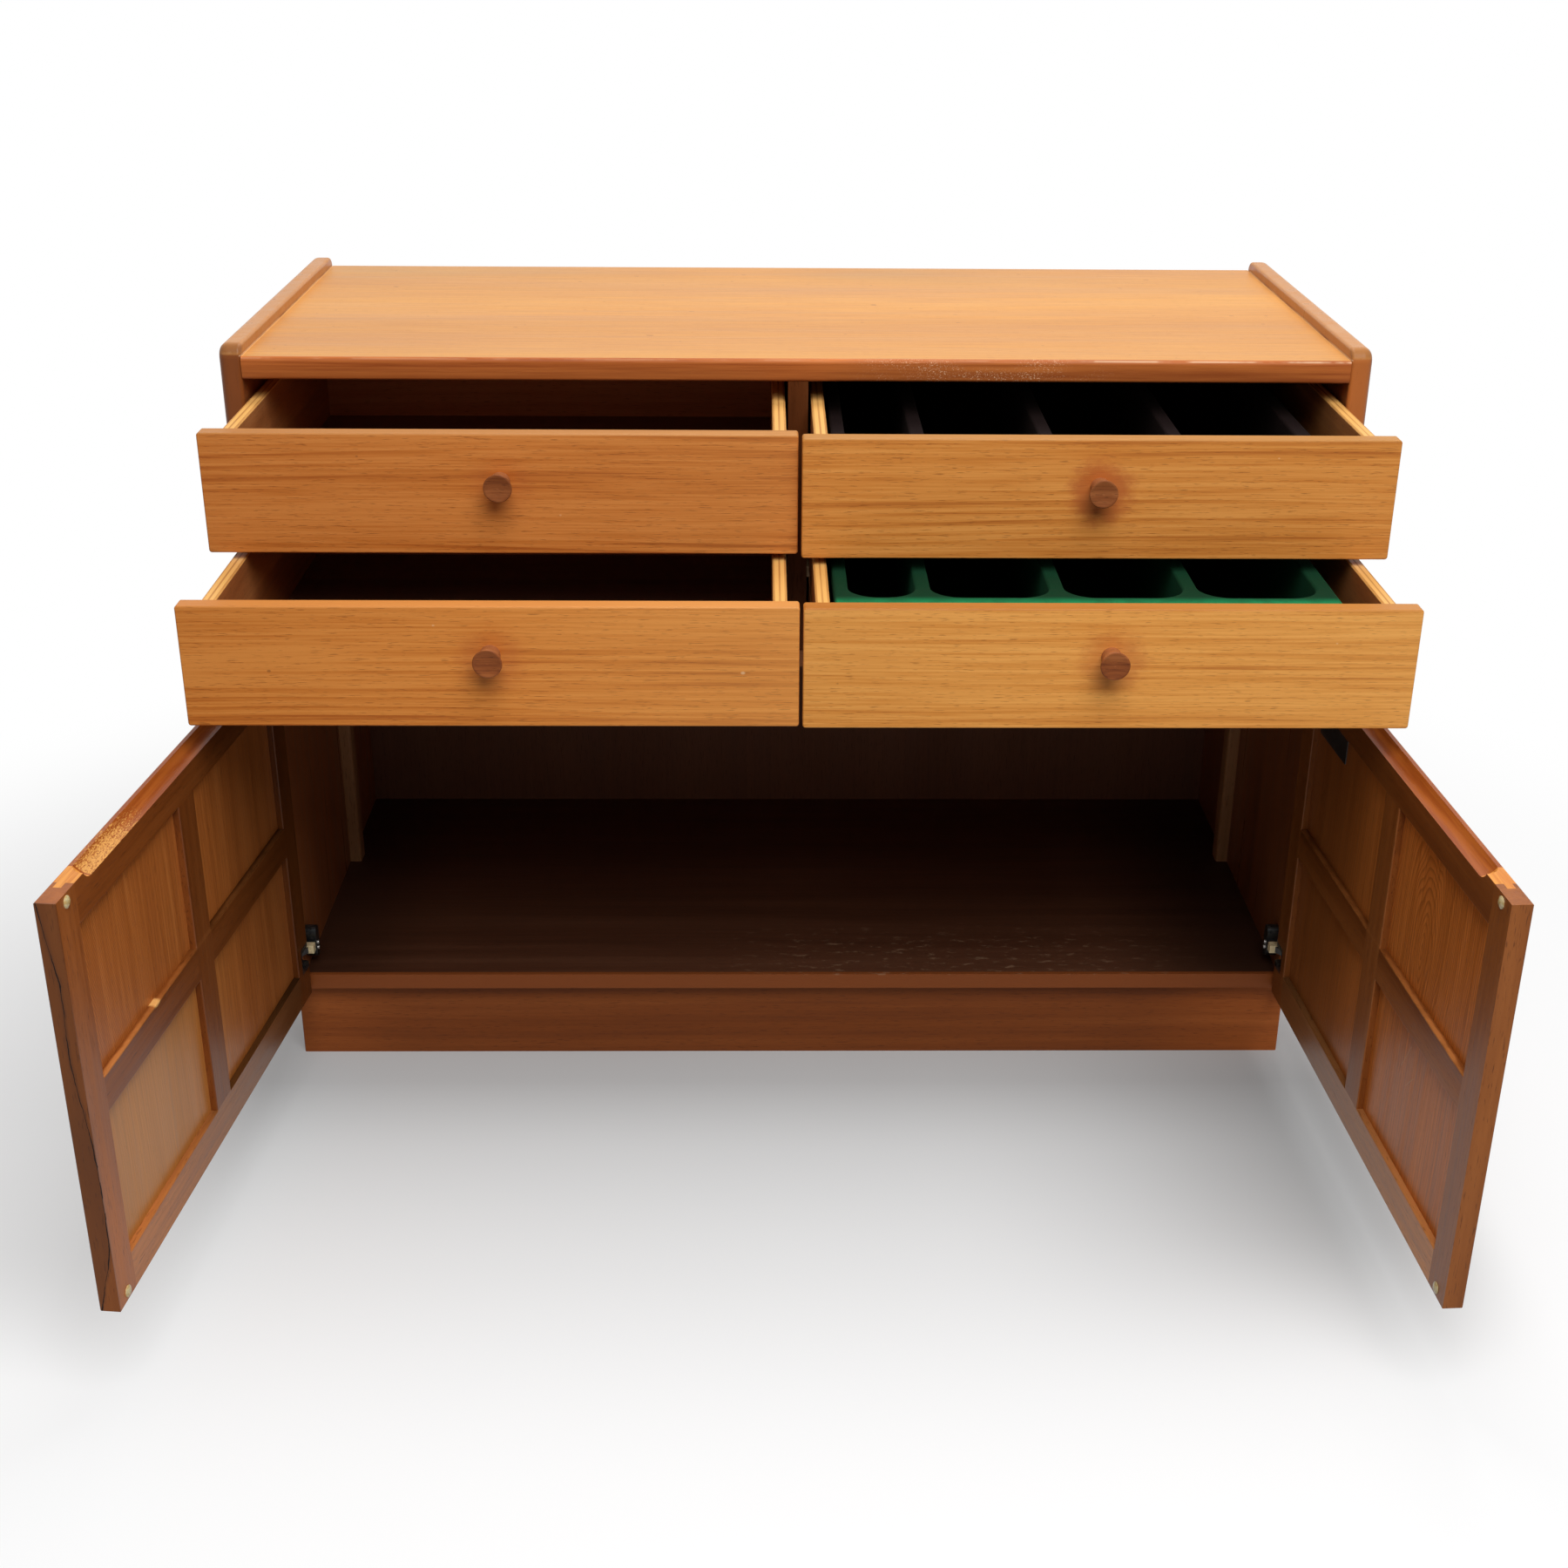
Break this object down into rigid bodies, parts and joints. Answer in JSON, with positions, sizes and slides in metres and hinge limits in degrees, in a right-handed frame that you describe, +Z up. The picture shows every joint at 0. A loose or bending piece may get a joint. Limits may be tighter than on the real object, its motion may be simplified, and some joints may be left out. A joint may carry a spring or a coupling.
{
  "type": "tv stand with doors",
  "caption": "Low teak sideboard on a plinth, with side-hung drawers over a cupboard, framed doors on pin hinges, turned knobs and raised rounded ends.",
  "frame": {"origin": "on the floor, under the middle of the carcass", "axes": "+X to the right along the front, +Y from the front to the back, +Z up"},
  "size_m": [1.0822, 0.947, 0.736],
  "materials": {
    "teak_veneer": "satin lacquered teak veneer",
    "teak_solid": "satin lacquered solid teak",
    "drawer_wood": "lacquered ply",
    "knob_wood": "dark end grain",
    "back_board": "plain board",
    "green_flock": "flocked",
    "black_flock": "flocked",
    "black_metal": "satin black",
    "nylon": "natural nylon",
    "steel": "plain",
    "clear_bumper": "translucent, yellowed"
  },
  "bodies": {
    "carcass": {"side_panel_left": "teak_solid", "side_panel_right": "teak_solid", "top_panel": "teak_veneer", "bottom_panel": "teak_veneer", "drawer_deck": "teak_veneer", "centre_divider": "teak_veneer", "back_panel": "back_board", "back_nails": "steel", "shelf_bearers": "teak_solid", "plinth_front": "teak_veneer", "plinth_back": "teak_veneer", "plinth_ends": "teak_veneer", "plinth_middle_rail": "teak_veneer", "runners_outer": "drawer_wood", "runners_centre": "drawer_wood", "runner_screws": "steel", "hinge_arms": "black_metal", "hinge_screws": "steel", "hinge_sleeves": "nylon"},
    "drawer_upper_left": {"drawer_upper_left_front": "teak_veneer", "drawer_upper_left_sides": "drawer_wood", "drawer_upper_left_back": "drawer_wood", "drawer_upper_left_bottom": "drawer_wood", "drawer_upper_left_knob": "knob_wood", "drawer_upper_left_knob_screw": "steel"},
    "drawer_upper_right": {"drawer_upper_right_front": "teak_veneer", "drawer_upper_right_sides": "drawer_wood", "drawer_upper_right_back": "drawer_wood", "drawer_upper_right_bottom": "drawer_wood", "drawer_upper_right_knob": "knob_wood", "drawer_upper_right_knob_screw": "steel", "tray_upper": "black_flock"},
    "drawer_lower_left": {"drawer_lower_left_front": "teak_veneer", "drawer_lower_left_sides": "drawer_wood", "drawer_lower_left_back": "drawer_wood", "drawer_lower_left_bottom": "drawer_wood", "drawer_lower_left_knob": "knob_wood", "drawer_lower_left_knob_screw": "steel"},
    "drawer_lower_right": {"drawer_lower_right_front": "teak_veneer", "drawer_lower_right_sides": "drawer_wood", "drawer_lower_right_back": "drawer_wood", "drawer_lower_right_bottom": "drawer_wood", "drawer_lower_right_knob": "knob_wood", "drawer_lower_right_knob_screw": "steel", "tray_lower": "green_flock"},
    "door_left": {"door_left_stiles": "teak_solid", "door_left_top_rail": "teak_solid", "door_left_bottom_rail": "teak_solid", "door_left_cross": "teak_solid", "door_left_panels": "teak_veneer", "door_left_bumpers": "clear_bumper", "door_left_hinge_cups": "black_metal"},
    "door_right": {"door_right_stiles": "teak_solid", "door_right_top_rail": "teak_solid", "door_right_bottom_rail": "teak_solid", "door_right_cross": "teak_solid", "door_right_panels": "teak_veneer", "door_right_bumpers": "clear_bumper", "door_right_hinge_cups": "black_metal"}
  },
  "joints": [
    {"name": "drawer_upper_left_slide", "type": "slide", "parent": "carcass", "child": "drawer_upper_left", "axis": [0, -1, 0], "range_m": [-0.0988, 0.2007]},
    {"name": "drawer_upper_right_slide", "type": "slide", "parent": "carcass", "child": "drawer_upper_right", "axis": [0, -1, 0], "range_m": [-0.11, 0.1895]},
    {"name": "drawer_lower_left_slide", "type": "slide", "parent": "carcass", "child": "drawer_lower_left", "axis": [0, -1, 0], "range_m": [-0.221, 0.0785]},
    {"name": "drawer_lower_right_slide", "type": "slide", "parent": "carcass", "child": "drawer_lower_right", "axis": [0, -1, 0], "range_m": [-0.224, 0.0755]},
    {"name": "door_left_hinge", "type": "hinge", "parent": "carcass", "child": "door_left", "pos_m": [-0.4985, -0.232, 0.266], "axis": [0, 0, -1], "range_deg": [-95.9, 9.1]},
    {"name": "door_right_hinge", "type": "hinge", "parent": "carcass", "child": "door_right", "pos_m": [0.4985, -0.232, 0.266], "axis": [0, 0, 1], "range_deg": [-92.7, 12.3]}
  ]
}
